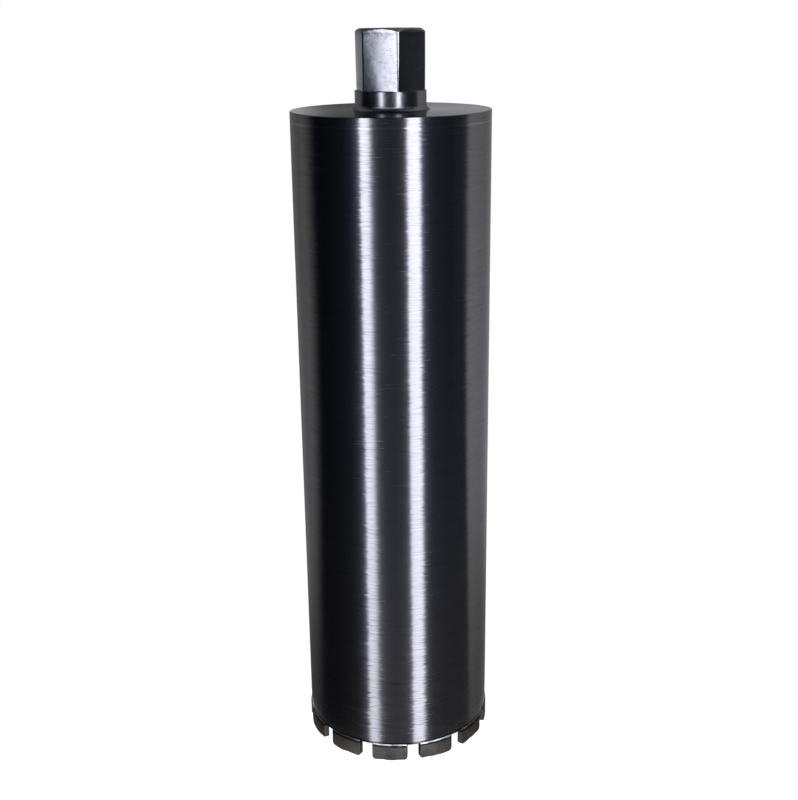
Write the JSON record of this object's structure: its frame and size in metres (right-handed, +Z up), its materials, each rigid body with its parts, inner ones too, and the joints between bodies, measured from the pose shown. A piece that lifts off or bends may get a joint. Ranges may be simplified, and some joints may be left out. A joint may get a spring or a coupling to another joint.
{
  "type": "diamond core bit",
  "caption": "Wet diamond core bit: thin steel barrel with brazed sintered segments round its open cutting end and a capped top that carries a hexagon hub with a female spindle thread.",
  "frame": {"origin": "centre of the circle of segment tips, at their lower ends, where the bit stands", "axes": "+Z up the bit's axis, from the crown to the hub; +X and +Y through the middle of a water slot between two segments"},
  "size_m": [0.1316, 0.1316, 0.495],
  "materials": {
    "barrel_steel": "satin",
    "cap_steel": "satin",
    "seam_weld_steel": "satin",
    "hub_steel": "satin",
    "hub_weld_steel": "satin",
    "segment_matrix": "matte",
    "silver_braze": "satin"
  },
  "bodies": {
    "root": {"barrel_tube": "barrel_steel", "end_cap": "cap_steel", "seam_weld": "seam_weld_steel", "hub": "hub_steel", "hub_weld": "hub_weld_steel", "segment_01": "segment_matrix", "segment_02": "segment_matrix", "segment_03": "segment_matrix", "segment_04": "segment_matrix", "segment_05": "segment_matrix", "segment_06": "segment_matrix", "segment_07": "segment_matrix", "segment_08": "segment_matrix", "segment_09": "segment_matrix", "segment_10": "segment_matrix", "segment_11": "segment_matrix", "segment_12": "segment_matrix", "segment_braze_01": "silver_braze", "segment_braze_02": "silver_braze", "segment_braze_03": "silver_braze", "segment_braze_04": "silver_braze", "segment_braze_05": "silver_braze", "segment_braze_06": "silver_braze", "segment_braze_07": "silver_braze", "segment_braze_08": "silver_braze", "segment_braze_09": "silver_braze", "segment_braze_10": "silver_braze", "segment_braze_11": "silver_braze", "segment_braze_12": "silver_braze"}
  },
  "joints": []
}
